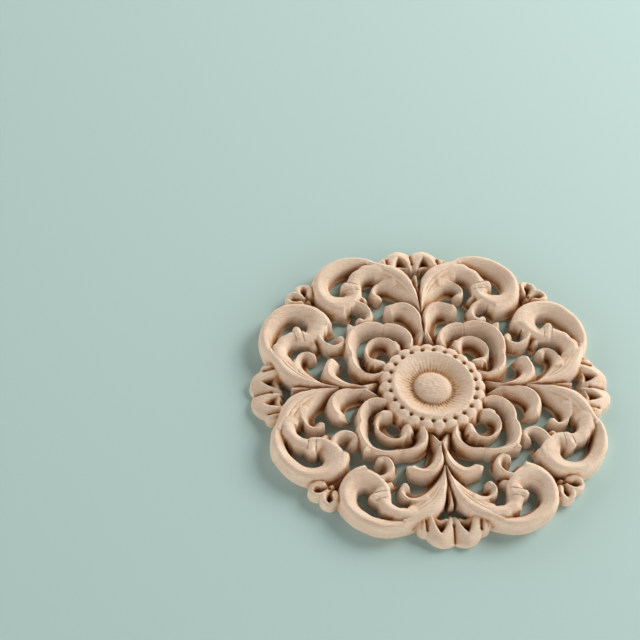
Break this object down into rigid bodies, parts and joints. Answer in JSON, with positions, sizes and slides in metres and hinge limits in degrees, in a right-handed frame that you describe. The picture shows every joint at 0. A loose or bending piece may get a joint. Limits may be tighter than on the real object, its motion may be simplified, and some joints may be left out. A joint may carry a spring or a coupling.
{
  "type": "carved wooden rosette",
  "caption": "Round pierced wooden rosette carved with leaf scrolls around a fluted, scalloped boss, with a flat back for fixing to a panel.",
  "frame": {"origin": "centre of the flat back face", "axes": "+Z out of the carved face; X and Y run through the shell leaves on the rim"},
  "size_m": [0.15, 0.15, 0.0085],
  "materials": {
    "wood": "unfinished, fine sanded"
  },
  "bodies": {
    "root": {"rosette": "wood"}
  },
  "joints": []
}
